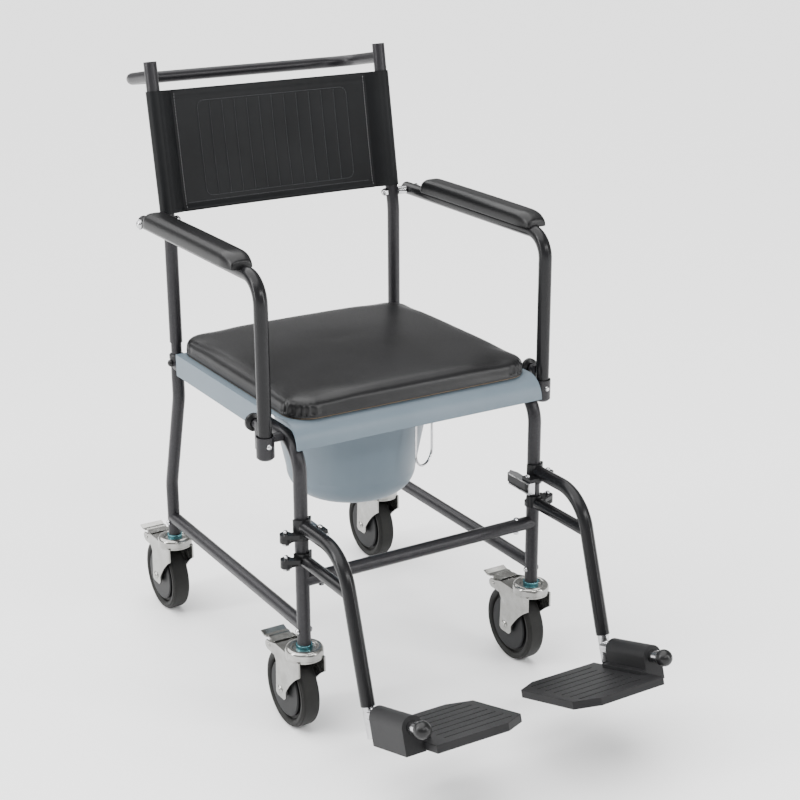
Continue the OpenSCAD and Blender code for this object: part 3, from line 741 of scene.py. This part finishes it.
def blow(o, pins, pressure, cap, reach):
    """Blows a closed mesh up with cloth simulation. Foam fills it, so each point takes the mean
    movement of the skin within reach millimetres, and moves no more than cap millimetres."""
    before = np.array([v.co[:] for v in o.data.vertices])
    facing = np.array([v.normal[:] for v in o.data.vertices])
    area = np.zeros(len(before))
    for face in o.data.polygons:
        area[list(face.vertices)] += face.area / len(face.vertices)
    cloth = o.modifiers.new("cloth", "CLOTH")
    settings = cloth.settings
    settings.quality = 6
    settings.mass = 0.3
    settings.tension_stiffness = settings.compression_stiffness = 50
    settings.shear_stiffness = 25
    settings.bending_stiffness = 6.0
    settings.use_pressure = True
    settings.uniform_pressure_force = pressure
    settings.vertex_group_mass = pins
    settings.effector_weights.gravity = 0
    cloth.collision_settings.use_collision = False
    cloth.point_cache.frame_start, cloth.point_cache.frame_end = 1, BLOW_FRAMES
    scene = bpy.context.scene
    for number in range(1, BLOW_FRAMES + 1):
        scene.frame_set(number)
    applied(o)
    scene.frame_set(1)
    move = np.array([v.co[:] for v in o.data.vertices]) - before
    limit = cap * MM
    for i, vertex in enumerate(o.data.vertices):
        far = ((before - before[i]) ** 2).sum(axis=1)
        alike = np.clip(facing @ facing[i], 0.0, None)
        weight = area * np.exp(-far / (2 * (reach * MM) ** 2)) * alike
        free = smooth((before[i][2] / MM - SEAT_Z0 - PINNED) / 8)
        mean = weight @ move / weight.sum() * free
        length = max(np.linalg.norm(mean), 1e-9)
        vertex.co = before[i] + mean * limit * np.tanh(length / limit) / length


def gather_corners(o):
    """Small pleats where the vinyl is pulled round the corners, and a few slow ripples."""
    margin = 8.0            # how far before each corner the pleats begin
    for vertex in o.data.vertices:
        x, y, z = vertex.co.x / MM, vertex.co.y / MM - SHIFT_Y, vertex.co.z / MM
        rise = z - SEAT_Z0
        if rise > 28 or rise < 0.2:
            continue
        sx, sy = math.copysign(1, x), math.copysign(1, y - SEAT_MID)
        dx = abs(x) - (SEAT_X - SEAT_R)
        dy = abs(y - SEAT_MID) - (SEAT_HALF - SEAT_R)
        amount = 0.35 * noise.noise(Vector((x * 0.035, y * 0.035, z * 0.01))) * smooth(rise / 6)
        if dx > -margin and dy > -margin:
            out = Vector((dx * sx, dy * sy)).normalized()
            angle = math.atan2(dy * sy, dx * sx)
            edge = smooth((dx + margin) / 16) * smooth((dy + margin) / 16)
            fade = smooth((24 - rise) / 20) * smooth(rise / 3)
            phase = angle * 23 + 1.3 * math.sin(angle * 7 + (1 if x > 0 else 2.2))
            amount += 1.5 * edge * fade * (math.cos(phase) - 0.35)
        elif abs(x) > SEAT_X - 26:
            out = Vector((sx, 0))
        else:
            out = Vector((0, sy))
        vertex.co.x += out.x * amount * MM
        vertex.co.y += out.y * amount * MM


# ---------- arm pads ----------


ARM_X, PAD_OFFSET = 246.0, 5.0     # the arm tube, and how far out the pad's middle is from it
PAD_LENGTH, PAD_HALF, PAD_HEIGHT = 317.0, 22.0, 23.0
PAD_OVER = 33              # points over the top of the section, from edge to edge
PAD_STATIONS = (0, 0.6, 1.8, 3.6, 6, 9, 13, 18, 24, 31, 40, 55, 75, 100, 130, 160, 190, 220, 250,
                270, 285, 296, 304, 309.5, 313, 315.4, 316.6, 317)


def pad_section(half, height):
    """Closed outline (x from the pad's middle, z from its underside), with the tube's groove below."""
    outline = []
    for a in np.linspace(0, math.pi, PAD_OVER):
        c, s = math.cos(a), math.sin(a)
        outline.append((half * math.copysign(abs(c) ** (2 / 3.4), c), height * abs(s) ** (2 / 3.0)))
    groove_x, groove_z, groove_r = -PAD_OFFSET, -6.5, 10.9
    reach = math.sqrt(groove_r ** 2 - groove_z ** 2)
    outline += [(-half * 0.97, 0.0), (-half * 0.85, 0.0)]
    start, end = math.atan2(-groove_z, -reach), math.atan2(-groove_z, reach)
    for a in np.linspace(start, end, 11):
        outline.append((groove_x + groove_r * math.cos(a), groove_z + groove_r * math.sin(a)))
    outline += [(half * 0.45, 0.0), (half * 0.85, 0.0), (half * 0.97, 0.0)]
    return outline


def pad_size(s):
    """Half width and height of the pad at s from its front, with a long nose and a short tail."""
    tail = PAD_LENGTH - s
    nose_t, tail_t = max(0.0, 1 - s / 34), max(0.0, 1 - tail / 14)
    half = PAD_HALF * (1 - 0.26 * nose_t ** 2.4 - 0.18 * tail_t ** 3)
    height = PAD_HEIGHT * (1 - 0.50 * nose_t ** 2.6 - 0.35 * tail_t ** 3)
    if s < 1.0:
        half, height = half - (1.0 - s) * 1.6, height - (1.0 - s) * 2.4
    if tail < 1.0:
        half, height = half - (1.0 - tail) * 1.2, height - (1.0 - tail) * 1.5
    return half, height


def make_pad(side, material):
    low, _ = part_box(f"{side}_arm_pad")
    front, base = low[1] / MM, low[2] / MM
    sign = -1 if side == "right" else 1
    points = []
    for s in PAD_STATIONS:
        half, height = pad_size(s)
        crown_up = 0.7 * math.sin(math.pi * s / PAD_LENGTH)
        for i, (x, z) in enumerate(pad_section(half, height)):
            lift = crown_up * smooth(z / height)
            dip = 0.45 * math.exp(-((abs(x) - half * 0.72) / 2.6) ** 2) * smooth((z - 15) / 6)
            up = base + z + lift - 0.7 - dip
            if i < PAD_OVER + 2:
                up = max(up, base)
            points.append(Vector((sign * (ARM_X + PAD_OFFSET + x), front + s, up)) * MM)
    count = len(points) // len(PAD_STATIONS)
    faces = grid_faces(len(PAD_STATIONS), count, closed=True)
    faces.append(tuple(range(count)))
    faces.append(tuple(range(len(points) - 1, len(points) - 1 - count, -1)))
    pad = new_object(f"{side}_arm_pad_foam", points, faces, material)
    tidy_normals(pad)
    subdivided(pad)
    tidy_normals(pad)
    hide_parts(f"{side}_arm_pad")
    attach(pad, f"{side}_arm")


# ---------- build ----------

make_camera()
make_stage()
dress_cad()
make_sling(vinyl("backrest vinyl", (0.0030, 0.0033, 0.0038), (0.0055, 0.0060, 0.0068),
                 rough=(0.36, 0.5), grain=700, bump=0.2, spec=0.14))
sew_sling(
    thread("quilting thread", (0.02, 0.022, 0.025), (0.05, 0.053, 0.058)),
    thread("seam thread", (0.10, 0.10, 0.105), (0.22, 0.22, 0.225)),
)
make_cushion(vinyl("seat vinyl", (0.0045, 0.0045, 0.0048), (0.0085, 0.0085, 0.0092),
                   rough=(0.26, 0.36), grain=480, bump=0.16))
pad_skin = vinyl("arm pad skin", (0.004, 0.004, 0.0043), (0.007, 0.007, 0.0075),
                 rough=(0.24, 0.34), grain=600, bump=0.12)
make_pad("right", pad_skin)
make_pad("left", pad_skin)
